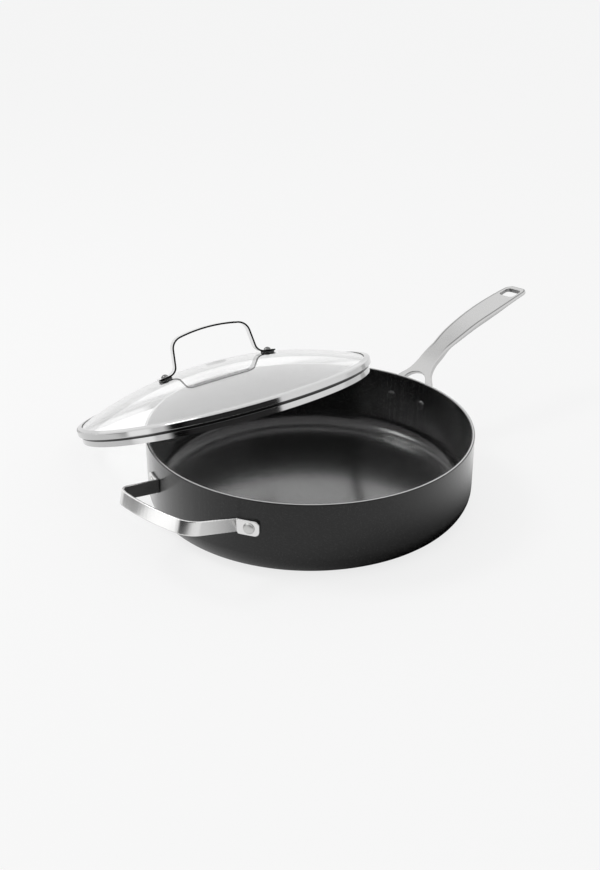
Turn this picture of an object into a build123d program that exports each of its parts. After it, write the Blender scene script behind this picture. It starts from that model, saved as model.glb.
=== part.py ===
from build123d import *
from math import asin, cos, degrees, radians, sin, sqrt
import os

os.makedirs("parts", exist_ok=True)

# Saute pan with a domed glass lid that leans on its rim
# Lengths are in millimetres and angles in degrees
# The pan stands on Z = 0 about the Z axis, and its long handle points along +X

# Pan shell: a straight-walled aluminium pan with a thicker floor
pan_radius = 150.0
pan_height = 70.9
wall = 3.0
floor_thickness = 5.0
base_corner_radius = 20.0
floor_corner_radius = 16.0
rim_rounding = 0.7

# Rivets that hold both handles: a domed head inside the pan, a lower one outside
rivet_shank_radius = 3.0
rivet_head_radius = 5.4
rivet_head_height = 2.4
rivet_tail_radius = 5.0
rivet_tail_height = 1.8
rivet_hole_clearance = 0.1
rivet_head_gap = 0.15
handle_seat_gap = 0.2

# Long handle: a forked casting whose two feet are riveted to the wall
handle_reach = 192.0
handle_width = 29.2
neck_width = 20.4
neck_straight = 6.0
neck_overlap = 1.0
handle_rivet_height = 47.0
handle_rivet_spacing = 38.0
handle_half_angle = 14.0
foot_radius = 10.0
foot_thickness = 5.5
foot_boss_rise = 0.8
root_height = 53.0
root_bend_radius = 14.0
root_slope = 45.4
rise_radius = 112.6
rise_slope = 23.2
back_radius = 305.0
back_slope = 9.3
tip_slope = 3.8
neck_thickness = 6.0
belly_thickness = 8.5
tip_thickness = 4.8
tip_corner_radius = 11.5
fork_window_radius = 13.0
fork_window_reach = 20.0
hang_slot_length = 20.0
hang_slot_width = 16.8
hang_slot_corner_radius = 4.5
hang_slot_inset = 8.0

# Half-width shares of the long handle's arm, each at its share of the way from neck to tip
arm_width_shares = ((0.12, 0.81), (0.30, 0.908), (0.57, 1.0), (0.80, 0.963), (1.0, 0.87))
# Half-width shares of its fork, each at its share of the way from neck to feet
fork_width_shares = ((0.28, 1.08), (0.46, 1.37), (0.62, 1.93), (0.80, 2.40))
# Underside of the long handle: shares of its top line where it is thinnest and deepest
neck_depth_share = 0.32
belly_depth_share = 0.58
# How fast the arm narrows at its tip and the fork still widens at its feet, as shares of the way
tip_taper_share = 0.07
foot_taper_share = 0.3
# The fork's legs are this share of the round feet that they end in
leg_width_share = 0.95

# Helper handle: a bent steel strip with one rivet in each foot
helper_rivet_height = 46.0
helper_rivet_offset = 58.5
helper_strip_height = 12.4
helper_strip_thickness = 2.5
helper_foot_height = 14.0
helper_foot_length = 19.3
helper_foot_corner_radius = 4.5
helper_root_spacing = 100.4
helper_grip_spacing = 86.0
helper_reach = 42.8
helper_bow = 5.7
helper_corner_radius = 16.0
helper_tilt = 15.5
helper_arm_height = 48.8

# Lid: rolled steel ring round a domed tempered glass, with a skirt that drops inside the pan's rim
ring_setback = 1.5
ring_sheet = 0.6
ring_wall_height = 6.3
ring_shoulder_radius = 1.3
lip_width = 5.5
groove_inset = 0.4
groove_height = 1.8
skirt_clearance = 1.4
skirt_depth = 7.5
hem_thickness = 1.2
hem_height = 1.6
glass_inset = 2.5
glass_edge_height = 5.2
glass_thickness = 3.6
dome_height = 35.2
bead_width = 3.0
lid_seat_gap = 0.1

# Lid handle: an arched steel strap on two feet, with its rivets through the glass
strap_width = 13.0
strap_thickness = 1.8
strap_rivet_offset = 53.0
strap_foot_end = 61.0
strap_bend_offset = 42.0
strap_bend_radius = 9.0
strap_corner_offset = 38.2
strap_corner_height = 33.6
strap_corner_radius = 12.0
strap_crown_height = 38.7
strap_foot_corner_radius = 4.0
strap_spin = 66.2
lid_rivet_shank_radius = 2.1
lid_rivet_head_radius = 3.6
lid_rivet_head_height = 2.2
lid_rivet_tail_radius = 3.4
lid_rivet_tail_height = 1.5
glass_hole_radius = 4.0
bushing_flange_radius = 6.8
bushing_flange_thickness = 0.9
bushing_clearance = 0.1
washer_radius = 7.2
washer_thickness = 1.0

# How the lid leans: its low edge is on the table and its skirt crosses the pan's rim
lid_tilt = 20.64
lid_low_azimuth = 84.4
lid_rest_gap = 0.3

# Cutting tools run past what they cut by this much
overrun = 20.0


def radial_frame(azimuth, height):
    """Plane on the pan's axis at this height, with Z pointing outwards."""
    outward = (cos(radians(azimuth)), sin(radians(azimuth)), 0)
    return Plane(origin=(0, 0, height), x_dir=(0, 0, 1), z_dir=outward)


def section_through(frame):
    """Plane through the frame's Z axis: X runs along that axis and Y away from it."""
    return Plane(origin=frame.origin, x_dir=frame.z_dir, z_dir=frame.y_dir)


def write(piece, name):
    """Label a finished piece and write its file."""
    piece.part.label = name
    export_step(piece.part, f"parts/{name}.step")


def make_rivet(name, frame, head_seat, tail_seat, shank_radius, head, tail):
    """Rivet along the frame's Z axis, its head before head_seat and its tail past tail_seat."""
    head_radius, head_height = head
    tail_radius, tail_height = tail
    with BuildPart() as rivet:
        with BuildSketch(section_through(frame)):
            with BuildLine():
                dome = TangentArc((head_seat - head_height, 0), (head_seat, head_radius), tangent=(0, 1))
                shank = Polyline(
                    dome @ 1,
                    (head_seat, shank_radius),
                    (tail_seat, shank_radius),
                    (tail_seat, tail_radius),
                )
                end = TangentArc((tail_seat + tail_height, 0), shank @ 1, tangent=(0, 1))
                Line(end @ 0, dome @ 0)
            make_face()
        revolve(axis=Axis(frame.origin, frame.z_dir))
    write(rivet, name)


# Pan shell

inner_radius = pan_radius - wall
rivet_hole_radius = rivet_shank_radius + rivet_hole_clearance
handle_rivet_azimuth = degrees(asin(handle_rivet_spacing / 2 / pan_radius))
helper_rivet_azimuth = 180 - degrees(asin(helper_rivet_offset / pan_radius))
handle_rivet_frames = [
    radial_frame(side * handle_rivet_azimuth, handle_rivet_height) for side in (1, -1)
]
helper_rivet_frames = [
    radial_frame(side * helper_rivet_azimuth, helper_rivet_height) for side in (1, -1)
]

with BuildPart() as pan_shell:
    with BuildSketch(Plane.XZ) as pan_section:
        with BuildLine():
            Polyline(
                (0, 0),
                (pan_radius, 0),
                (pan_radius, pan_height),
                (inner_radius, pan_height),
                (inner_radius, floor_thickness),
                (0, floor_thickness),
                (0, 0),
            )
        make_face()
        fillet(pan_section.vertices().sort_by_distance((pan_radius, 0))[0], base_corner_radius)
        floor_corner = pan_section.vertices().sort_by_distance((inner_radius, floor_thickness))[0]
        fillet(floor_corner, floor_corner_radius)
    revolve(axis=Axis.Z)
    rim_edges = pan_shell.edges().group_by(Axis.Z)[-1]
    fillet(rim_edges, rim_rounding)
    for frame in handle_rivet_frames + helper_rivet_frames:
        with Locations(frame.offset(pan_radius + overrun)):
            Hole(rivet_hole_radius, depth=2 * overrun + wall)

pan_shell.part.label = "pan_shell"
export_step(pan_shell.part, "parts/pan_shell.step")


# Long handle

foot_inner_radius = pan_radius + handle_seat_gap
foot_outer_radius = pan_radius + foot_thickness
foot_face = foot_outer_radius + foot_boss_rise
leg_thickness = foot_outer_radius - foot_inner_radius
tip_radius = pan_radius + handle_reach
blank_radius = tip_radius + tip_corner_radius
blank_half_width = blank_radius * sin(radians(handle_half_angle))

# Top line of the handle in the XZ plane, from its bend at the wall to past its tip
with BuildLine() as handle_top:
    root_bend = JernArc(
        start=(foot_inner_radius, root_height),
        tangent=(0, 1),
        radius=root_bend_radius,
        arc_size=root_slope - 90,
    )
    rise = JernArc(root_bend @ 1, root_bend % 1, rise_radius, rise_slope - root_slope)
    back = JernArc(rise @ 1, rise % 1, back_radius, back_slope - rise_slope)
    tip_bend_radius = (blank_radius - (back @ 1).X) / (sin(radians(back_slope)) - sin(radians(tip_slope)))
    JernArc(back @ 1, back % 1, tip_bend_radius, tip_slope - back_slope)
top_line = handle_top.wires()[0]


def under(share, depth):
    """Point of the handle's underside at this share of its top line."""
    tangent = top_line % share
    return top_line @ share + Vector(tangent.Y, -tangent.X) * depth


# The fork is cut out across its bend, along a direction halfway between the wall and the arm
fork_plane = Plane(origin=(0, 0, 0), x_dir=(1, 0, 1), z_dir=(-1, 0, 1))


def fork_x(radius, height):
    """Distance along the fork plane of a place in the XZ plane."""
    return fork_plane.to_local_coords(Vector(radius, 0, height)).X


neck = rise @ 1
neck_x = fork_x(neck.X, neck.Y)
feet_x = fork_x((foot_inner_radius + foot_outer_radius) / 2, handle_rivet_height)
leg_half_width = foot_radius * leg_width_share
leg_outer = handle_rivet_spacing / 2 + leg_half_width
leg_inner = handle_rivet_spacing / 2 - leg_half_width
window_x = feet_x + fork_window_reach - fork_window_radius / 2
arm_start = neck.X + neck_straight
arm_points = [
    (arm_start + (tip_radius - arm_start) * share, handle_width / 2 * width_share)
    for share, width_share in arm_width_shares
]
fork_start = neck_x - neck_straight
fork_points = [
    (fork_start + (feet_x - fork_start) * share, neck_width / 2 * width_share)
    for share, width_share in fork_width_shares
]

with BuildPart() as long_handle:
    with BuildSketch(Plane.XZ.rotated((0, 0, -handle_half_angle))):
        with BuildLine():
            add(handle_top.line)
            Polyline(
                top_line @ 0,
                (foot_inner_radius, handle_rivet_height - foot_radius),
                (foot_outer_radius, handle_rivet_height - foot_radius),
                (foot_outer_radius, root_height),
            )
            inner_bend = JernArc(
                start=(foot_outer_radius, root_height),
                tangent=(0, 1),
                radius=root_bend_radius - leg_thickness,
                arc_size=root_slope - 90,
            )
            belly = Spline(
                inner_bend @ 1,
                under(neck_depth_share, neck_thickness),
                under(belly_depth_share, belly_thickness),
                under(1, tip_thickness),
                tangents=(inner_bend % 1, top_line % 1),
            )
            Line(belly @ 1, top_line @ 1)
        make_face()
    revolve(axis=Axis.Z, revolution_arc=2 * handle_half_angle)
    with BuildSketch(Plane.XY):
        with BuildLine():
            shoulder = Polyline(
                (0, 0),
                (0, blank_half_width),
                (neck.X - neck_overlap, blank_half_width),
                (neck.X - neck_overlap, neck_width / 2),
                (arm_start, neck_width / 2),
            )
            side = Spline(shoulder @ 1, *arm_points, tangents=((1, 0), (1, -tip_taper_share)))
            Polyline(side @ 1, (tip_radius, 0), (0, 0))
        arm = make_face()
        fillet(arm.vertices().sort_by_distance(side @ 1)[0], tip_corner_radius)
        mirror(about=Plane.XZ)
    extrude(amount=tip_radius, mode=Mode.INTERSECT)
    with BuildSketch(fork_plane):
        with BuildLine():
            shoulder = Polyline(
                (blank_radius, 0),
                (blank_radius, blank_half_width),
                (neck_x + neck_overlap, blank_half_width),
                (neck_x + neck_overlap, neck_width / 2),
                (fork_start, neck_width / 2),
            )
            side = Spline(
                shoulder @ 1,
                *fork_points,
                (feet_x, leg_outer),
                tangents=((-1, 0), (-1, foot_taper_share)),
            )
            Polyline(side @ 1, (feet_x, leg_inner), (window_x, fork_window_radius))
            window = CenterArc((window_x, 0), fork_window_radius, 0, 90)
            Line(window @ 0, (blank_radius, 0))
        make_face()
        mirror(about=Plane.XZ)
    extrude(amount=tip_radius, both=True, mode=Mode.INTERSECT)
    for frame in handle_rivet_frames:
        with BuildSketch(frame.offset(foot_face)):
            Circle(foot_radius)
        extrude(amount=inner_radius - foot_face)
    with BuildSketch(Plane.XY):
        Circle(foot_inner_radius)
    extrude(amount=pan_height, mode=Mode.SUBTRACT)
    with BuildSketch(Plane.XY.offset(pan_height)):
        with Locations((tip_radius - hang_slot_inset - hang_slot_length / 2, 0)):
            RectangleRounded(hang_slot_length, hang_slot_width, hang_slot_corner_radius)
    extrude(amount=tip_radius, mode=Mode.SUBTRACT)
    for frame in handle_rivet_frames:
        with Locations(frame.offset(foot_face + overrun)):
            Hole(rivet_hole_radius, depth=2 * overrun)

long_handle.part.label = "long_handle"
export_step(long_handle.part, "parts/long_handle.step")

for side_name, frame in zip(("left", "right"), handle_rivet_frames):
    make_rivet(
        f"long_handle_rivet_{side_name}",
        frame,
        inner_radius - rivet_head_gap,
        foot_face,
        rivet_shank_radius,
        (rivet_head_radius, rivet_head_height),
        (rivet_tail_radius, rivet_tail_height),
    )


# Helper handle

tilt = radians(helper_tilt)
grip_plane = Plane(
    origin=(-pan_radius, 0, helper_arm_height),
    x_dir=(-cos(tilt), 0, sin(tilt)),
    z_dir=(sin(tilt), 0, cos(tilt)),
)
helper_foot_inner = pan_radius + handle_seat_gap
helper_foot_outer = helper_foot_inner + helper_strip_thickness
foot_start = helper_root_spacing / 2 - helper_strip_thickness / 2
foot_start_azimuth = degrees(asin(foot_start / pan_radius))

with BuildPart() as helper_handle:
    for side in (1, -1):
        foot_frame = radial_frame(side * (180 - foot_start_azimuth), helper_rivet_height)
        with BuildSketch(foot_frame.offset(pan_radius - helper_foot_height)):
            with Locations((0, side * helper_foot_length / 2)):
                foot = Rectangle(helper_foot_height, helper_foot_length)
            fillet(foot.vertices().group_by(Axis.Y, reverse=side > 0)[0], helper_foot_corner_radius)
        extrude(amount=2 * helper_foot_height)
    with BuildSketch(Plane.XY):
        Circle(helper_foot_outer)
    extrude(amount=pan_height, mode=Mode.INTERSECT)
    with BuildSketch(grip_plane):
        with BuildLine():
            left_arm = Line(
                (-overrun, helper_root_spacing / 2),
                (helper_reach, helper_grip_spacing / 2),
            )
            grip = ThreePointArc(
                left_arm @ 1,
                (helper_reach + helper_bow, 0),
                (helper_reach, -helper_grip_spacing / 2),
            )
            Line(grip @ 1, (-overrun, -helper_root_spacing / 2))
            fillet([left_arm.vertices()[1], grip.vertices()[1]], helper_corner_radius)
        trace(line_width=helper_strip_thickness)
    extrude(amount=helper_strip_height / 2, both=True)
    with BuildSketch(Plane.XY):
        Circle(helper_foot_inner)
    extrude(amount=pan_height, mode=Mode.SUBTRACT)
    for frame in helper_rivet_frames:
        with Locations(frame.offset(helper_foot_outer + overrun)):
            Hole(rivet_hole_radius, depth=2 * overrun)

helper_handle.part.label = "helper_handle"
export_step(helper_handle.part, "parts/helper_handle.step")

for side_name, frame in zip(("left", "right"), helper_rivet_frames):
    make_rivet(
        f"helper_handle_rivet_{side_name}",
        frame,
        inner_radius - rivet_head_gap,
        helper_foot_outer + rivet_head_gap,
        rivet_shank_radius,
        (rivet_head_radius, rivet_head_height),
        (rivet_tail_radius, rivet_tail_height),
    )


# How the lid stands: its seating plane is the lid plane, X points down its slope

lean = radians(lid_tilt)
low_side = Vector(cos(radians(lid_low_azimuth)), sin(radians(lid_low_azimuth)), 0)
lid_up = low_side * sin(lean) + Vector(0, 0, cos(lean))
lid_down_slope = low_side * cos(lean) - Vector(0, 0, sin(lean))
skirt_radius = inner_radius - skirt_clearance
hem_radius = skirt_radius - hem_thickness
skirt_centre_height = skirt_radius * sin(lean)
crossing_share = (pan_height + lid_rest_gap - skirt_centre_height) / (hem_radius * sin(lean))
crossing_width = hem_radius * sqrt(1 - crossing_share**2)
skirt_centre_offset = hem_radius * crossing_share * cos(lean) + sqrt(pan_radius**2 - crossing_width**2)
lid_origin = low_side * skirt_centre_offset + Vector(0, 0, skirt_centre_height) + lid_up * skirt_depth
lid_axis = Axis(lid_origin, lid_up)
lid_section = Plane(origin=lid_origin, x_dir=lid_down_slope, z_dir=lid_down_slope.cross(lid_up))

# Glass: a dome of even thickness whose edge sits in the ring
ring_radius = pan_radius - ring_setback
glass_radius = ring_radius - glass_inset
dome_rise = dome_height - glass_edge_height
dome_radius = (glass_radius**2 + dome_rise**2) / (2 * dome_rise)
dome_centre = dome_height - dome_radius


def on_dome(radius, depth=0):
    """Point of the lid section at this radius, this far under the glass's outer face."""
    return Vector(radius, dome_centre + sqrt((dome_radius - depth)**2 - radius**2))


spin = radians(strap_spin)
strap_along = lid_down_slope * cos(spin) + lid_up.cross(lid_down_slope) * sin(spin)


def dome_frame(offset):
    """Plane on the dome's outer face and square to it, this far out along the strap."""
    share = offset / dome_radius
    outward = strap_along * share + lid_up * sqrt(1 - share**2)
    place = lid_origin + lid_up * dome_centre + outward * dome_radius
    return Plane(origin=place, x_dir=strap_along.cross(lid_up), z_dir=outward)


strap_frames = [dome_frame(strap_rivet_offset), dome_frame(-strap_rivet_offset)]

with BuildPart() as lid_glass:
    with BuildSketch(lid_section):
        with BuildLine():
            outer = RadiusArc((0, dome_height), on_dome(glass_radius), dome_radius)
            inner = RadiusArc(
                (0, dome_height - glass_thickness),
                on_dome(glass_radius, glass_thickness),
                dome_radius - glass_thickness,
            )
            Line(outer @ 1, inner @ 1)
            Line(outer @ 0, inner @ 0)
        make_face()
    revolve(axis=lid_axis)
    for frame in strap_frames:
        with Locations(frame.offset(overrun)):
            Hole(glass_hole_radius, depth=2 * overrun)

lid_glass.part.label = "lid_glass"
export_step(lid_glass.part, "parts/lid_glass.step")

# Ring: one strip of sheet from its lip on the glass, round the wall and down the skirt
wall_line = ring_radius - ring_sheet / 2
skirt_line = skirt_radius - ring_sheet / 2
groove_line = skirt_line - groove_inset
lip_start = on_dome(ring_radius - lip_width, -lid_seat_gap - ring_sheet)

with BuildPart() as lid_rim:
    with BuildSketch(lid_section):
        with BuildLine():
            strip = FilletPolyline(
                lip_start,
                (wall_line, ring_wall_height - ring_sheet / 2),
                (wall_line, ring_sheet / 2),
                (groove_line, ring_sheet / 2),
                (groove_line, -groove_height),
                (skirt_line, -groove_height - ring_sheet),
                (skirt_line, -skirt_depth),
                radius=(ring_shoulder_radius, ring_sheet, ring_sheet, ring_sheet / 2, ring_sheet / 2),
            )
        trace(line_width=ring_sheet)
        with Locations((skirt_radius - hem_thickness / 2, hem_height / 2 - skirt_depth)):
            Rectangle(hem_thickness, hem_height)
    revolve(axis=lid_axis)

lid_rim.part.label = "lid_rim"
export_step(lid_rim.part, "parts/lid_rim.step")

# Bead: the soft bedding between the glass's edge and the ring
bead_outer = ring_radius - ring_sheet - lid_seat_gap
bead_inner = glass_radius - bead_width
bead_floor = ring_sheet + lid_seat_gap

with BuildPart() as lid_bead:
    with BuildSketch(lid_section):
        with BuildLine():
            Polyline(
                (bead_inner, bead_floor),
                (bead_outer, bead_floor),
                (bead_outer, glass_edge_height - lid_seat_gap),
                (glass_radius + lid_seat_gap, glass_edge_height - lid_seat_gap),
                on_dome(glass_radius, glass_thickness + lid_seat_gap) + Vector(lid_seat_gap, 0),
                on_dome(bead_inner, glass_thickness + lid_seat_gap),
                (bead_inner, bead_floor),
            )
        make_face()
    revolve(axis=lid_axis)

lid_bead.part.label = "lid_bead"
export_step(lid_bead.part, "parts/lid_bead.step")


# Lid handle

foot_stack = bushing_flange_thickness + 2 * lid_seat_gap
strap_base = on_dome(strap_rivet_offset).Y + foot_stack
foot_slope = strap_rivet_offset / sqrt(dome_radius**2 - strap_rivet_offset**2)


def foot_line(offset):
    """Point on the middle of a strap foot, which lies square to the dome at its rivet."""
    height = strap_base + strap_thickness / 2 - (offset - strap_rivet_offset) * foot_slope
    return (offset, height)


strap_section = Plane(origin=lid_origin, x_dir=strap_along, z_dir=strap_along.cross(lid_up))
strap_top = foot_stack + strap_thickness

with BuildPart() as lid_handle:
    with BuildSketch(strap_section):
        with BuildLine():
            right_leg = Polyline(
                foot_line(strap_foot_end),
                foot_line(strap_bend_offset),
                (strap_corner_offset, strap_base + strap_corner_height),
            )
            crown = ThreePointArc(
                right_leg @ 1,
                (0, strap_base + strap_crown_height),
                (-strap_corner_offset, strap_base + strap_corner_height),
            )
            left_leg = mirror(right_leg, about=Plane.YZ)
            bends = right_leg.vertices()[1:2] + left_leg.vertices()[1:2]
            fillet(bends, strap_bend_radius)
            fillet(crown.vertices(), strap_corner_radius)
        trace(line_width=strap_thickness)
    extrude(amount=strap_width / 2, both=True)
    short_edges = lid_handle.edges().filter_by(GeomType.LINE).group_by(SortBy.LENGTH)[0]
    fillet(short_edges, strap_foot_corner_radius)
    for frame in strap_frames:
        with Locations(frame.offset(overrun)):
            Hole(lid_rivet_shank_radius + rivet_hole_clearance, depth=2 * overrun)

lid_handle.part.label = "lid_handle"
export_step(lid_handle.part, "parts/lid_handle.step")

# Each foot stands on a soft bushing, and its rivet passes through that and a washer under the glass
bushing_bore = lid_rivet_shank_radius + bushing_clearance
bushing_sleeve = glass_hole_radius - bushing_clearance
washer_seat = -glass_thickness - 2 * lid_seat_gap

for side_name, frame in zip(("right", "left"), strap_frames):
    section = section_through(frame)
    with BuildPart() as bushing:
        with BuildSketch(section):
            with BuildLine():
                Polyline(
                    (-glass_thickness, bushing_bore),
                    (-glass_thickness, bushing_sleeve),
                    (lid_seat_gap, bushing_sleeve),
                    (lid_seat_gap, bushing_flange_radius),
                    (lid_seat_gap + bushing_flange_thickness, bushing_flange_radius),
                    (lid_seat_gap + bushing_flange_thickness, bushing_bore),
                    (-glass_thickness, bushing_bore),
                )
            make_face()
        revolve(axis=Axis(frame.origin, frame.z_dir))
    write(bushing, f"lid_handle_bushing_{side_name}")
    with BuildPart() as washer:
        with BuildSketch(frame.offset(washer_seat - washer_thickness)):
            Circle(washer_radius)
            Circle(bushing_bore, mode=Mode.SUBTRACT)
        extrude(amount=washer_thickness)
    write(washer, f"lid_handle_washer_{side_name}")
    make_rivet(
        f"lid_handle_rivet_{side_name}",
        Plane(origin=frame.origin, x_dir=frame.x_dir, z_dir=-frame.z_dir),
        -strap_top - lid_seat_gap,
        washer_thickness - washer_seat + lid_seat_gap,
        lid_rivet_shank_radius,
        (lid_rivet_head_radius, lid_rivet_head_height),
        (lid_rivet_tail_radius, lid_rivet_tail_height),
    )
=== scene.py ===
"""Looks, light and camera of the saute pan with lid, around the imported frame."""

import math

import bmesh
import bpy
from mathutils import Matrix, Vector


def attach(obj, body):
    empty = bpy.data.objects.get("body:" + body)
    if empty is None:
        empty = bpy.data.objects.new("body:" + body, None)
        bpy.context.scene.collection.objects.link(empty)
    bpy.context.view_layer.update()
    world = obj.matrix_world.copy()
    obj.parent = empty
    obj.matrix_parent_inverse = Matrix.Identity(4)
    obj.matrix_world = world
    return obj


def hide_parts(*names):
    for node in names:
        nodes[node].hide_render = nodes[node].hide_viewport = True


MM = 0.001
SIDES = ("left", "right")

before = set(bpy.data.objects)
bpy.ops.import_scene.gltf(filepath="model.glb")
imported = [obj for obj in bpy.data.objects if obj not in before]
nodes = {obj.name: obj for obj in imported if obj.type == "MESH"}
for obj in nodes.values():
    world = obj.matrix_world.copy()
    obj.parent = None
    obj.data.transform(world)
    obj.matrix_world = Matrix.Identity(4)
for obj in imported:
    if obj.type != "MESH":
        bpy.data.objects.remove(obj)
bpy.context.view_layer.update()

# Camera
# The photograph's own frame has X to the right and Y away from the camera; the part's frame is
# turned against it about Z by the camera's azimuth.
CAMERA_AZIMUTH = math.radians(-47.6)
CAMERA_ELEVATION = math.radians(25.954)
CAMERA_SPOT = Vector((-9.095, -965.195, 530.446)) * MM
FOCAL_PIXELS = 1166.762
LONG_SIDE_PIXELS = 870
SENSOR_WIDTH = 36.0
PHOTO_TURN = Matrix.Rotation(CAMERA_AZIMUTH, 4, "Z")

camera = bpy.data.objects.new("camera", bpy.data.cameras.new("camera"))
bpy.context.scene.collection.objects.link(camera)
camera.data.sensor_width = SENSOR_WIDTH
camera.data.lens = SENSOR_WIDTH * FOCAL_PIXELS / LONG_SIDE_PIXELS
camera.location = PHOTO_TURN @ CAMERA_SPOT
camera.rotation_euler = (math.pi / 2 - CAMERA_ELEVATION, 0, CAMERA_AZIMUTH)
bpy.context.scene.camera = camera
bpy.context.scene.view_settings.view_transform = "Standard"

# Node materials
# A noise's values lie mostly within its span, and a span is what a roughness or tone follows.
GRAIN_SPAN = (0.3, 0.7)
STREAK_SPAN = (0.25, 0.75)
STREAK_NOISE = (2.5, 3.0, 0.6)
WHITE = (1.0, 1.0, 1.0, 1.0)


class Graph:
    """A node material or world being built. Methods take numbers or sockets and return sockets."""

    def __init__(self, owner, output="ShaderNodeOutputMaterial"):
        owner.use_nodes = True
        self.owner = owner
        self.tree = owner.node_tree
        self.tree.nodes.clear()
        self.output = self.tree.nodes.new(output)

    def add(self, kind, inputs=None, **settings):
        node = self.tree.nodes.new(kind)
        for name, value in settings.items():
            setattr(node, name, value)
        for name, value in (inputs or {}).items():
            if isinstance(value, bpy.types.NodeSocket):
                self.tree.links.new(value, node.inputs[name])
            else:
                node.inputs[name].default_value = value
        return node

    def math(self, operation, *values):
        return self.add("ShaderNodeMath", dict(enumerate(values)), operation=operation).outputs[0]

    def vector(self, operation, first, second, output=0):
        return self.add("ShaderNodeVectorMath", {0: first, 1: second}, operation=operation).outputs[output]

    def dot(self, first, second):
        return self.vector("DOT_PRODUCT", first, second, "Value")

    def both(self, first, second):
        return self.math("MULTIPLY", first, second)

    def rest(self, share):
        """What is left of 1."""
        return self.math("SUBTRACT", 1.0, share)

    def step(self, value, start, end, low=0.0, high=1.0):
        """Rises smoothly from low to high as value goes from start to end."""
        return self.add("ShaderNodeMapRange", {"Value": value, "From Min": start, "From Max": end,
                                               "To Min": low, "To Max": high},
                        interpolation_type="SMOOTHSTEP").outputs[0]

    def between(self, factor, first, second):
        """A number from first to second."""
        return self.add("ShaderNodeMix", {0: factor, 2: first, 3: second}).outputs[0]

    def mix(self, factor, first, second):
        """A colour from first to second."""
        node = self.add("ShaderNodeMix", {0: factor}, data_type="RGBA")
        for index, value in ((6, first), (7, second)):
            if isinstance(value, bpy.types.NodeSocket):
                self.tree.links.new(value, node.inputs[index])
            else:
                node.inputs[index].default_value = (*value, 1.0)
        return node.outputs[2]

    def tones(self, factor, dark, light):
        return self.mix(factor, grey(dark), grey(light))

    def blend(self, factor, first, second):
        """A shader between first and second."""
        return self.add("ShaderNodeMixShader", {0: factor, 1: first, 2: second}).outputs[0]

    def place(self):
        """The object's own coordinates, in millimetres."""
        here = self.add("ShaderNodeTexCoord").outputs["Object"]
        return self.vector("MULTIPLY", here, (1 / MM,) * 3)

    def noise(self, place, scale, detail=3.0, roughness=0.5):
        return self.add("ShaderNodeTexNoise", {"Vector": place, "Scale": scale, "Detail": detail,
                                               "Roughness": roughness}).outputs["Fac"]

    def streaks(self, place, factors):
        """Noise that runs out into streaks along the axes whose factors are small."""
        return self.noise(self.vector("MULTIPLY", place, factors), *STREAK_NOISE)

    def specks(self, place, scale, share, size):
        """1 on round specks in a random share of cells that are 1 / scale wide, else 0."""
        cells = self.add("ShaderNodeTexVoronoi", {"Vector": place, "Scale": scale})
        pick = self.add("ShaderNodeSeparateColor", {0: cells.outputs["Color"]}).outputs[0]
        chosen = self.math("GREATER_THAN", pick, 1 - share)
        near = self.step(cells.outputs["Distance"], size, size / 2)
        return self.both(chosen, near)

    def bump(self, height, strength, depth):
        return self.add("ShaderNodeBump", {"Height": height, "Strength": strength,
                                           "Distance": depth}).outputs[0]

    def facing(self):
        """0 where the surface faces the ray, 1 where it is seen edge on."""
        return self.add("ShaderNodeLayerWeight", {"Blend": 0.5}).outputs["Facing"]

    def ray(self, kind):
        return self.add("ShaderNodeLightPath").outputs[f"Is {kind} Ray"]

    def principled(self, inputs):
        return self.add("ShaderNodeBsdfPrincipled", inputs).outputs[0]

    def close(self, shader):
        self.tree.links.new(shader, self.output.inputs["Surface"])
        return self.owner


def grey(value):
    return (value, value, value)


def dress(piece, material):
    piece.data.materials.clear()
    piece.data.materials.append(material)


def middle(node):
    """The mean of a CAD node's vertices."""
    spots = [vertex.co for vertex in nodes[node].data.vertices]
    return sum(spots, Vector()) / len(spots)


# Pan body, in millimetres
# The wall's middle surface parts the outside from the inside: MID_WALL from a circle of
# BASE_RADIUS at CORNER_HEIGHT.
BASE_RADIUS = 130.5
CORNER_HEIGHT = 20.5
MID_WALL = 18.0
MID_WALL_RADIUS = 148.0
RIM_FOOT = 70.2
BARE_RADIUS = 148.6
BARE_HALF_WIDTH = 0.42
BARE_SOFT = 0.1
BARE_TONE = 0.52
BARE_ROUGH = 0.3
CLOUD = (0.05, 4.0)
GRAIN = (1.6, 2.0)
ORANGE_PEEL = (0.9, 2.0)
SPARKLE = (2.0, 0.16, 0.45)
FINE_SPARKLE = (1.6, 0.14, 0.45)
SPARKLE_TONE = 0.06
SPARKLE_HEIGHT = 0.5
SHELL_TONES = (0.006, 0.009)
COAT_TONES = (0.003, 0.006)
SHELL_ROUGH = (0.14, 0.22)
COAT_ROUGH = (0.14, 0.24)
PAN_BUMP = (0.3, 0.05 * MM)
PAN_IOR = 1.4

# Gloss added towards the edge of a round form: its share there and how late it comes
WALL_GLOSS = (0.60, 3.41)
COAT_GLOSS = (0.85, 2.6)
COAT_FACE_ON = 0.012


def length(g, first, second):
    return g.math("SQRT", g.math("ADD", g.both(first, first), g.both(second, second)))


def distance_from_axis(g, place):
    """How far a place is from the pan's axis, and its height."""
    x, y, z = g.add("ShaderNodeSeparateXYZ", {0: place}).outputs
    return length(g, x, y), z


def grazing(g, share, power):
    """Extra gloss that grows from nothing face on to share at the edge of a round form."""
    return g.both(g.math("POWER", g.facing(), power), share)


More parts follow.
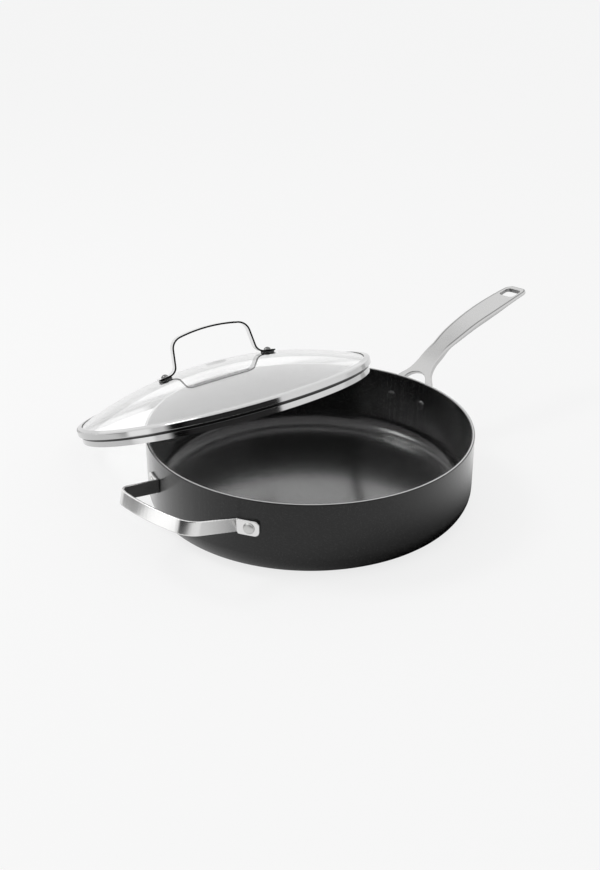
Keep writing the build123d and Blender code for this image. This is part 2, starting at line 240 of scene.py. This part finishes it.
def pan_material():
    """Sparkling black outside, smoother black coating inside and a bare line on the rim."""
    g = Graph(bpy.data.materials.new("pan_anodised"))
    place = g.place()
    radius, z = distance_from_axis(g, place)
    out_of_base = g.math("MAXIMUM", g.math("SUBTRACT", radius, BASE_RADIUS), 0.0)
    below_corner = g.math("MAXIMUM", g.math("SUBTRACT", CORNER_HEIGHT, z), 0.0)
    outside = g.math("GREATER_THAN", length(g, out_of_base, below_corner), MID_WALL)
    from_line = g.math("ABSOLUTE", g.math("SUBTRACT", radius, BARE_RADIUS))
    on_line = g.step(from_line, BARE_HALF_WIDTH + BARE_SOFT, BARE_HALF_WIDTH - BARE_SOFT)
    bare = g.both(g.math("GREATER_THAN", z, RIM_FOOT), on_line)
    cloud = g.noise(place, *CLOUD)
    grain = g.noise(place, *GRAIN)
    sparkle = g.specks(place, *SPARKLE)
    fine = g.specks(place, *FINE_SPARKLE)

    shell_colour = g.mix(sparkle, g.tones(cloud, *SHELL_TONES), grey(SPARKLE_TONE))
    coat_colour = g.mix(fine, g.tones(cloud, *COAT_TONES), grey(SPARKLE_TONE))
    colour = g.mix(bare, g.mix(outside, coat_colour, shell_colour), grey(BARE_TONE))
    rough_outside = g.step(grain, *GRAIN_SPAN, *SHELL_ROUGH)
    rough_inside = g.step(grain, *GRAIN_SPAN, *COAT_ROUGH)
    rough = g.between(bare, g.between(outside, rough_inside, rough_outside), BARE_ROUGH)
    specks = g.both(g.math("ADD", sparkle, fine), SPARKLE_HEIGHT)
    normal = g.bump(g.math("ADD", g.noise(place, *ORANGE_PEEL), specks), *PAN_BUMP)
    body = g.principled({"Base Color": colour, "Metallic": bare, "Roughness": rough, "IOR": PAN_IOR,
                         "Normal": normal})
    sheen = g.add("ShaderNodeBsdfGlossy", {"Color": WHITE, "Roughness": rough,
                                           "Normal": normal}).outputs[0]
    coat = g.math("ADD", grazing(g, *COAT_GLOSS), COAT_FACE_ON)
    extra = g.between(outside, coat, grazing(g, *WALL_GLOSS))
    return g.close(g.blend(g.both(extra, g.rest(bare)), body, sheen))


# Steels
# Painted shade: cuts and edges that the studio shows dark are painted darker where a vertex attribute says
# so.
LINE_SHADE = "painted_edge_shade"
LINE_DEPTH = 0.9
PAINTED_SHADE_TONE = 0.12
STEEL_CLOUD = 0.08
STEEL_CLOUD_ROUGH = 0.04
STEEL_TINT = (1.0, 0.995, 0.985)
STEEL_DARK = 0.95
STEEL_ROUGH = (0.85, 1.15)
STEEL_BUMP = (0.1, 0.01 * MM)
ALL_WAYS = (1.0, 1.0, 1.0)


def satin_steel(name, tone, rough, streak, line=None):
    """Satin stainless steel, with fine streaks where the streak factors are small."""
    g = Graph(bpy.data.materials.new(name))
    place = g.place()
    lines = g.streaks(place, streak)
    cloud = g.noise(place, STEEL_CLOUD)
    colour = g.mix(cloud, grey(tone * STEEL_DARK), tuple(tone * part for part in STEEL_TINT))
    # Painted shade: where line names a vertex attribute, it darkens the colour
    if line:
        shade = g.add("ShaderNodeAttribute", attribute_name=line).outputs["Fac"]
        colour = g.mix(g.both(shade, LINE_DEPTH), colour, grey(tone * PAINTED_SHADE_TONE))
    low, high = (rough * part for part in STEEL_ROUGH)
    roughness = g.math("ADD", g.step(lines, *STREAK_SPAN, low, high),
                       g.step(cloud, *GRAIN_SPAN, 0.0, STEEL_CLOUD_ROUGH))
    return g.close(g.principled({"Base Color": colour, "Metallic": 1.0, "Roughness": roughness,
                                 "Normal": g.bump(lines, *STEEL_BUMP)}))


RIVET_GRAIN = (2.0, 2.0)
RIVET_COAT_TONES = (0.008, 0.014)
RIVET_COAT_ROUGH = 0.22
RIVET_STEEL = (0.62, 0.62, 0.61)
RIVET_STEEL_ROUGH = (0.36, 0.46)
RIVET_IOR = 1.9
RIVET_BUMP = (0.15, 0.02 * MM)


def pan_rivet_material():
    """Satin steel outside the wall and the pan's black coating on the head inside it."""
    g = Graph(bpy.data.materials.new("pan_rivet_steel"))
    place = g.place()
    outside = g.math("GREATER_THAN", distance_from_axis(g, place)[0], MID_WALL_RADIUS)
    grain = g.noise(place, *RIVET_GRAIN)
    colour = g.mix(outside, g.tones(grain, *RIVET_COAT_TONES), RIVET_STEEL)
    rough = g.between(outside, RIVET_COAT_ROUGH, g.step(grain, *GRAIN_SPAN, *RIVET_STEEL_ROUGH))
    return g.close(g.principled({"Base Color": colour, "Metallic": outside, "Roughness": rough,
                                 "IOR": RIVET_IOR, "Normal": g.bump(grain, *RIVET_BUMP)}))


# The lid leans by LID_TILT, and LID_LOW_SIDE is the azimuth of its low side
LID_TILT = math.radians(20.64)
LID_LOW_SIDE = math.radians(84.4)
LID_UP = Vector((math.cos(LID_LOW_SIDE) * math.sin(LID_TILT),
                 math.sin(LID_LOW_SIDE) * math.sin(LID_TILT), math.cos(LID_TILT)))

# Painted shade in the groove above the skirt: its band's height above the ring's foot, in millimetres
GROOVE_SHADE_LOW = 5.1
GROOVE_SHADE_HIGH = 7.3
GROOVE_SHADE_SOFT = 0.15
GROOVE_SHADE_TONE = 0.008
RING_STREAK = (0.1, 0.1, 1.0)
RING_TONES = (0.5, 0.56)
RING_ROUGH = (0.08, 0.12)


def ring_material():
    """Bright rolled sheet with painted shade in the groove where its wall turns into the skirt."""
    g = Graph(bpy.data.materials.new("ring_steel"))
    place = g.place()
    foot = min(vertex.co.dot(LID_UP) for vertex in nodes["lid_rim"].data.vertices) / MM
    height = g.math("SUBTRACT", g.dot(place, LID_UP), foot)
    # Painted shade: the groove's band is made near black and not metallic
    groove_shade = g.both(g.step(height, GROOVE_SHADE_LOW - GROOVE_SHADE_SOFT, GROOVE_SHADE_LOW + GROOVE_SHADE_SOFT),
                  g.step(height, GROOVE_SHADE_HIGH + GROOVE_SHADE_SOFT, GROOVE_SHADE_HIGH - GROOVE_SHADE_SOFT))
    lines = g.streaks(place, RING_STREAK)
    colour = g.mix(groove_shade, g.tones(lines, *RING_TONES), grey(GROOVE_SHADE_TONE))
    roughness = g.step(lines, *STREAK_SPAN, *RING_ROUGH)
    return g.close(g.principled({"Base Color": colour, "Metallic": g.rest(groove_shade),
                                 "Roughness": roughness, "Normal": g.bump(lines, *STEEL_BUMP)}))


STRAP_STREAK = (0.08, 0.08, 1.0)
STRAP_TONES = (0.7, 0.76)
STRAP_ROUGH = (0.08, 0.14)
SIDE_REFLECTION_TONE = 0.04
SIDE_REFLECTION_SPAN = (0.5, 0.75)


def strap_material():
    """Bright strap whose narrow sides carry a painted dark reflection."""
    g = Graph(bpy.data.materials.new("strap_steel"))
    lines = g.streaks(g.place(), STRAP_STREAK)
    feet = middle("lid_handle_rivet_right") - middle("lid_handle_rivet_left")
    across = LID_UP.cross(feet).normalized()
    sideways = g.dot(g.add("ShaderNodeTexCoord").outputs["Normal"], across)
    # Painted reflection: the narrow sides, found by their normal, are coloured near black
    side_reflection = g.step(g.math("ABSOLUTE", sideways), *SIDE_REFLECTION_SPAN)
    colour = g.mix(side_reflection, g.tones(lines, *STRAP_TONES), grey(SIDE_REFLECTION_TONE))
    return g.close(g.principled({"Base Color": colour, "Metallic": 1.0,
                                 "Roughness": g.step(lines, *STREAK_SPAN, *STRAP_ROUGH),
                                 "Normal": g.bump(lines, *STEEL_BUMP)}))


# Rubber and glass
RUBBER_GRAIN = 3.0
RUBBER_TONES = (0.85, 1.15)
RUBBER_ROUGH_SPREAD = 0.08
RUBBER_BUMP = (0.2, 0.03 * MM)


def rubber(name, tone, rough):
    g = Graph(bpy.data.materials.new(name))
    grain = g.noise(g.place(), RUBBER_GRAIN)
    colour = g.tones(grain, *(tone * part for part in RUBBER_TONES))
    roughness = g.step(grain, *GRAIN_SPAN, rough - RUBBER_ROUGH_SPREAD, rough + RUBBER_ROUGH_SPREAD)
    return g.close(g.principled({"Base Color": colour, "Roughness": roughness,
                                 "Normal": g.bump(grain, *RUBBER_BUMP)}))


# Share of the studio that the glass mirrors face on and at a slant, and over which facing it grows
VEIL_SHARES = (0.02, 0.355)
VEIL_SPAN = (0.25, 0.5)
SMUDGE_SCALE = 0.03
SMUDGE_SPAN = (0.45, 0.75)
SMUDGE_ROUGH = (0.0, 0.03)
GLASS_IOR = 1.5
GLASS_SHADOW = (0.93, 0.95, 0.94, 1.0)


def glass_material():
    """Clear glass with faint smudges that mirrors more of the studio at a slant."""
    g = Graph(bpy.data.materials.new("lid_clear_glass"))
    smudge = g.noise(g.place(), SMUDGE_SCALE)
    rough = g.step(smudge, *SMUDGE_SPAN, *SMUDGE_ROUGH)
    clear = g.principled({"Base Color": WHITE, "Roughness": rough, "IOR": GLASS_IOR,
                          "Transmission Weight": 1.0})
    through = g.add("ShaderNodeBsdfTransparent", {"Color": GLASS_SHADOW}).outputs[0]
    mirror = g.add("ShaderNodeBsdfGlossy", {"Color": WHITE, "Roughness": 0.0}).outputs[0]
    outer = g.rest(g.add("ShaderNodeNewGeometry").outputs["Backfacing"])
    veil = g.both(g.step(g.facing(), *VEIL_SPAN, *VEIL_SHARES), outer)
    return g.close(g.blend(g.ray("Shadow"), g.blend(veil, clear, mirror), through))


# Each steel's tone, roughness and streak factors
pan_anodised = pan_material()
cast_steel = satin_steel("cast_steel", 0.545, 0.28, ALL_WAYS, LINE_SHADE)
strip_steel = satin_steel("strip_steel", 0.78, 0.17, (1.0, 0.06, 1.0))
ring_steel = ring_material()
strap_steel = strap_material()
washer_steel = satin_steel("washer_steel", 0.6, 0.25, ALL_WAYS)
dark_rivet = satin_steel("dark_rivet_steel", 0.16, 0.12, ALL_WAYS)
pan_rivet_steel = pan_rivet_material()
bead_rubber = rubber("bead_sealant", 0.35, 0.5)
bushing_rubber = rubber("bushing_silicone", 0.03, 0.6)
clear_glass = glass_material()

dress(nodes["pan_shell"], pan_anodised)
for side in SIDES:
    dress(nodes["lid_handle_rivet_" + side], dark_rivet)
    dress(nodes["lid_handle_bushing_" + side], bushing_rubber)
    dress(nodes["lid_handle_washer_" + side], washer_steel)
dress(nodes["lid_glass"], clear_glass)
dress(nodes["lid_rim"], ring_steel)
dress(nodes["lid_bead"], bead_rubber)

# Handles with rounded edges
WELD = 0.001 * MM
SMOOTH_FACTOR = 0.5


def rounded_copy(node, body, material, voxel, rounds, carve=None):
    """A copy of a CAD node with its sharp edges worn round, standing in for it."""
    mesh = nodes[node].data.copy()
    piece = bpy.data.objects.new(node + "_rounded", mesh)
    bpy.context.scene.collection.objects.link(piece)
    shape = bmesh.new()
    shape.from_mesh(mesh)
    bmesh.ops.remove_doubles(shape, verts=shape.verts, dist=WELD)
    shape.to_mesh(mesh)
    shape.free()
    remesh = piece.modifiers.new("remesh", "REMESH")
    remesh.mode = "VOXEL"
    remesh.voxel_size = voxel
    smooth = piece.modifiers.new("smooth", "SMOOTH")
    smooth.factor = SMOOTH_FACTOR
    smooth.iterations = rounds
    graph = bpy.context.evaluated_depsgraph_get()
    made = bpy.data.meshes.new_from_object(piece.evaluated_get(graph))
    piece.modifiers.clear()
    piece.data = made
    made.name = piece.name
    if carve:
        carve(made)
    made.shade_smooth()
    dress(piece, material)
    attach(piece, body)
    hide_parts(node)
    return piece


# The pan's rivets: full domes with a round shoulder, on the axis and ends of their solids
HEAD_RADIUS = 5.4 * MM
HEAD_HEIGHT = 2.4 * MM
SHANK_RADIUS = 3.0 * MM
TAIL_RADIUS = 5.0 * MM
TAIL_HEIGHT = 1.8 * MM
DOME_POWER = 2.5
DOME_STEPS = 14
RIVET_SIDES = 48


def dome(radius, start, height):
    """Points of a dome's outline, as distance along the axis and from it, from its top to its edge."""
    angles = [math.pi / 2 * step / DOME_STEPS for step in range(DOME_STEPS + 1)]
    return [(start + height * (1 - math.cos(angle) ** (2 / DOME_POWER)),
             radius * math.sin(angle) ** (2 / DOME_POWER)) for angle in angles]


def round_rivet(node):
    """A turned rivet with a domed head and tail, standing in for a CAD rivet of the pan."""
    spots = [vertex.co for vertex in nodes[node].data.vertices]
    centre = middle(node)
    outward = Vector((centre.x, centre.y, 0)).normalized()
    reach = [spot.dot(outward) for spot in spots]
    heights = [spot.z for spot in spots]
    level = (max(heights) + min(heights)) / 2
    first, last = min(reach), max(reach)
    profile = dome(HEAD_RADIUS, first, HEAD_HEIGHT)
    profile += [(first + HEAD_HEIGHT, SHANK_RADIUS), (last - TAIL_HEIGHT, SHANK_RADIUS)]
    profile += dome(TAIL_RADIUS, last, -TAIL_HEIGHT)[::-1]
    aside = Vector((-outward.y, outward.x, 0))
    upward = Vector((0, 0, 1))
    turns = [2 * math.pi * corner / RIVET_SIDES for corner in range(RIVET_SIDES)]
    shape = bmesh.new()
    rings = []
    for distance, radius in profile:
        hub = outward * distance + upward * level
        if radius < WELD:
            rings.append([shape.verts.new(hub)])
            continue
        rings.append([shape.verts.new(hub + (aside * math.cos(turn) + upward * math.sin(turn)) * radius)
                      for turn in turns])
    for ring, after in zip(rings, rings[1:]):
        for corner in range(RIVET_SIDES):
            around = [ring[corner % len(ring)], ring[(corner + 1) % len(ring)],
                      after[(corner + 1) % len(after)], after[corner % len(after)]]
            shape.faces.new(list(dict.fromkeys(around)))
    bmesh.ops.recalc_face_normals(shape, faces=shape.faces)
    mesh = bpy.data.meshes.new(node + "_round")
    shape.to_mesh(mesh)
    shape.free()
    mesh.shade_smooth()
    piece = bpy.data.objects.new(node + "_round", mesh)
    bpy.context.scene.collection.objects.link(piece)
    dress(piece, pan_rivet_steel)
    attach(piece, "pan")
    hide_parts(node)


for side in SIDES:
    round_rivet("long_handle_rivet_" + side)
    round_rivet("helper_handle_rivet_" + side)

# The cast arm's top has a bevelled edge and its underside is full in the middle
# The arm is measured in slices of BIN, and the carving grows from ARM_FROM to ARM_FULL.
BIN = 2.0 * MM
ARM_FROM = 188.0 * MM
ARM_FULL = 206.0 * MM
BEVEL_WIDTH = 2.4 * MM
BEVEL_DROP = 1.0 * MM
EDGE_SHARE = 0.52
CROWN_POWER = 2.5

# Painted shade: dark lines along the bevel, near the belly at a share of the arm's thickness, and in the
# slot
LINE_WIDTH = 1.1 * MM
UPPER_FROM = 0.6
LOW_LINE_SHARE = 0.12
SLOT_FROM = 312.8 * MM
SLOT_TO = 335.2 * MM
SLOT_HALF = 9.4 * MM
SLOT_SHARES = (0.12, 0.85)
SLOT_SHADE = 0.6


def smooth_share(value, start, end):
    share = min(max((value - start) / (end - start), 0.0), 1.0)
    return share * share * (3 - 2 * share)


def sculpt_arm(mesh):
    """Move the arm's vertices up and down between a bevelled top and a crowned underside."""
    spots = [vertex.co for vertex in mesh.vertices if vertex.co.x > ARM_FROM - BIN]
    tip = max(spot.x for spot in spots)
    half, low, high = {}, {}, {}
    for spot in spots:
        slice_across = round(spot.x / BIN)
        half[slice_across] = max(half.get(slice_across, 0.0), abs(spot.y))
        slice_round = round(math.hypot(spot.x, spot.y) / BIN)
        low[slice_round] = min(low.get(slice_round, spot.z), spot.z)
        high[slice_round] = max(high.get(slice_round, spot.z), spot.z)

    def between(table, value):
        spot = value / BIN
        first = math.floor(spot)
        here = table.get(first, table.get(first + 1))
        there = table.get(first + 1, here)
        return here + (there - here) * (spot - first)

    # Painted shade along the bevel, near the belly and in the slot, kept in a vertex attribute
    shades = mesh.attributes.new(LINE_SHADE, "FLOAT", "POINT")
    for vertex in mesh.vertices:
        spot = vertex.co
        amount = smooth_share(spot.x, ARM_FROM, ARM_FULL)
        if not amount:
            continue
        radius = math.hypot(spot.x, spot.y)
        top, bottom = between(high, radius), between(low, radius)
        width = between(half, spot.x)
        inset = min(max(width - abs(spot.y), 0.0), max(tip - spot.x, 0.0))
        bevel = BEVEL_DROP * max(1 - inset / BEVEL_WIDTH, 0.0) * amount
        crown = (1 - min(inset / width, 1.0)) ** CROWN_POWER
        lift = (top - bottom) * EDGE_SHARE * crown * amount
        share = min(max((spot.z - bottom) / (top - bottom), 0.0), 1.0)
        spot.z += lift * (1 - share) - bevel * share
        if share > UPPER_FROM:
            from_line = abs(inset - BEVEL_WIDTH)
        else:
            from_line = abs(share - LOW_LINE_SHARE) * (top - bottom)
        shade = amount * max(1 - from_line / LINE_WIDTH, 0.0)
        # Painted shade fills the slot's walls
        at_slot = SLOT_FROM < spot.x < SLOT_TO and abs(spot.y) < SLOT_HALF
        if at_slot and SLOT_SHARES[0] < share < SLOT_SHARES[1]:
            shade = SLOT_SHADE
        shades.data[vertex.index].value = shade
    mesh.update()


# Each handle's voxel size and rounds of smoothing
long_handle = rounded_copy("long_handle", "pan", cast_steel, 0.5 * MM, 6, sculpt_arm)
rounded_copy("helper_handle", "pan", strip_steel, 0.4 * MM, 4)
rounded_copy("lid_handle", "lid", strap_steel, 0.33 * MM, 1)

# Floor, world and lamps
BACKGROUND = 0.922
WORLD_LEVEL = 0.72
FLOOR_SIZE = 40.0
FLOOR_SQUARES = 8
FLOOR_GLOW = 0.972
GLOW_SHARE = 0.8
PAPER_SCALE = 0.002
PAPER_TONES = (0.9, 0.92)
TINY = 1e-6

# A black drape hangs behind the camera, and polished metal shows it. The end of the table before it
# has painted shade, which glossy rays alone see. Directions are in the photograph's frame, and edges
# are cosines from a centre, but DRAPE_TOP is the drape's height as a sine and TABLE_END is in metres
# from the pan's axis.
DRAPE_CENTRE = Vector((0.054, -0.9985, 0.0))
DRAPE_EDGE = (0.71, 0.75)
DRAPE_TOP = (0.66, 0.6)
DRAPE_TONE = 0.03
TABLE_END = (0.42, 0.62)
TABLE_END_EDGE = (0.67, 0.77)

# On the left the table has a patch of painted light, with painted grey shade beside it, both from
# CARDS_FROM metres out and seen by glossy rays alone, and the ceiling is dim in one place
CARD_CENTRE = Vector((-0.9135, -0.4067, 0.0))
CARD_EDGE = (0.975, 0.99)
PAINTED_LIGHT_GAIN = 0.5
GREY_CENTRE = Vector((-0.990, -0.139, 0.0))
GREY_EDGE = (0.984, 0.995)
PAINTED_GREY_TONE = 0.3
CARDS_FROM = (0.36, 0.44)
DIM_CENTRE = Vector((-0.215, 0.591, 0.777))
DIM_EDGE = (0.965, 0.992)
DIM_TONE = 0.74
SKY_LEVEL = 1.16

# Painted shadow of the pan and painted shade at its base, which glossy rays alone see, with radii in
# metres
SHADOW_SPOT = Vector((61.1, -40.0, 0.0)) * MM
SHADOW_RADIUS = (0.080, 0.187)
BASE_SHADOW = (0.126, 0.166)


def from_photo(direction):
    """A direction of the photograph's frame, in the part's frame."""
    return PHOTO_TURN.to_3x3() @ Vector(direction)


def pale_rays(g):
    """1 for camera, glossy and transmission rays."""
    seen = g.math("MAXIMUM", g.ray("Camera"), g.ray("Glossy"))
    return g.math("MAXIMUM", seen, g.ray("Transmission"))


def dress_world(world):
    """An even pale world, with the drape and the dim ceiling for mirrored rays alone."""
    g = Graph(world, "ShaderNodeOutputWorld")
    direction = g.add("ShaderNodeTexCoord").outputs["Generated"]
    height = g.dot(direction, from_photo((0, 0, 1)))
    level_part = g.math("SQRT", g.math("MAXIMUM", g.rest(g.both(height, height)), TINY))
    sideways = g.math("DIVIDE", g.dot(direction, from_photo(DRAPE_CENTRE)), level_part)
    drape = g.both(g.both(g.step(sideways, *DRAPE_EDGE), g.step(height, *DRAPE_TOP)), g.ray("Glossy"))
    toward_dim = g.dot(direction, from_photo(DIM_CENTRE))
    ceiling = g.step(toward_dim, *DIM_EDGE, SKY_LEVEL, SKY_LEVEL * DIM_TONE)
    open_sky = g.between(g.ray("Glossy"), BACKGROUND, ceiling)
    level = g.between(pale_rays(g), WORLD_LEVEL, g.between(drape, open_sky, DRAPE_TONE))
    g.close(g.add("ShaderNodeBackground", {"Color": WHITE, "Strength": level}).outputs[0])


def floor_material():
    """Matte paper, the background for pale rays, with painted shadow, shade and light for mirrored rays.
    """
    g = Graph(bpy.data.materials.new("floor_paper"))
    paper = g.tones(g.noise(g.place(), PAPER_SCALE), *PAPER_TONES)
    matte = g.add("ShaderNodeBsdfDiffuse", {"Color": paper}).outputs[0]
    spot = g.add("ShaderNodeTexCoord").outputs["Object"]
    distance = g.add("ShaderNodeVectorMath", {0: spot}, operation="LENGTH").outputs["Value"]

    def toward(centre):
        return g.math("DIVIDE", g.dot(spot, from_photo(centre)), g.math("MAXIMUM", distance, TINY))

    # Painted shadow of the pan, and painted shade at its base and at the table's end
    lit = g.step(g.vector("DISTANCE", spot, from_photo(SHADOW_SPOT), "Value"), *SHADOW_RADIUS)
    painted_end_shade = g.both(g.step(distance, *TABLE_END), g.step(toward(DRAPE_CENTRE), *TABLE_END_EDGE))
    lit = g.both(g.both(lit, g.rest(painted_end_shade)), g.step(distance, *BASE_SHADOW))
    # A patch of painted light, and painted grey shade beside it
    beyond = g.step(distance, *CARDS_FROM)
    painted_light_patch = g.both(g.step(toward(CARD_CENTRE), *CARD_EDGE), beyond)
    painted_shade_patch = g.both(g.step(toward(GREY_CENTRE), *GREY_EDGE), beyond)
    lit = g.both(lit, g.math("ADD", 1.0, g.both(painted_light_patch, PAINTED_LIGHT_GAIN)))
    lit = g.both(lit, g.rest(g.both(painted_shade_patch, 1 - PAINTED_GREY_TONE)))
    level = g.between(g.ray("Glossy"), FLOOR_GLOW, g.both(lit, BACKGROUND))
    glow = g.add("ShaderNodeEmission", {"Color": WHITE, "Strength": level}).outputs[0]
    share = g.between(g.ray("Glossy"), GLOW_SHARE, 1.0)
    return g.close(g.blend(g.both(pale_rays(g), share), matte, glow))


world = bpy.data.worlds.new("studio")
bpy.context.scene.world = world
dress_world(world)

shape = bmesh.new()
bmesh.ops.create_grid(shape, x_segments=FLOOR_SQUARES, y_segments=FLOOR_SQUARES, size=FLOOR_SIZE / 2)
floor_mesh = bpy.data.meshes.new("floor")
shape.to_mesh(floor_mesh)
shape.free()
floor = bpy.data.objects.new("floor", floor_mesh)
bpy.context.scene.collection.objects.link(floor)
dress(floor, floor_material())

# The key's direction in the photograph's frame, distance and sides in metres, and radiance
KEY_TOWARDS = (-0.58, 0.12, 0.8)
KEY_DISTANCE = 1.6
KEY_SIDES = (0.42, 0.42)
KEY_RADIANCE = 8.5


def softbox(name, towards, distance, sides, radiance):
    """An area lamp that shines at the pan from a direction in the photograph's frame."""
    lamp = bpy.data.objects.new(name, bpy.data.lights.new(name, "AREA"))
    bpy.context.scene.collection.objects.link(lamp)
    lamp.data.shape = "RECTANGLE"
    lamp.data.size, lamp.data.size_y = sides
    lamp.data.energy = radiance * math.pi * sides[0] * sides[1]
    direction = from_photo(towards).normalized()
    lamp.location = direction * distance
    lamp.rotation_euler = direction.to_track_quat("Z", "Y").to_euler()
    lamp.visible_camera = False
    return lamp


key = softbox("key", KEY_TOWARDS, KEY_DISTANCE, KEY_SIDES, KEY_RADIANCE)

# A flag keeps the key off the long handle, which would mirror it at its fork
flagged = bpy.data.collections.new("flagged")
flagged.objects.link(long_handle)
flagged.collection_objects[0].light_linking.link_state = "EXCLUDE"
key.light_linking.receiver_collection = flagged
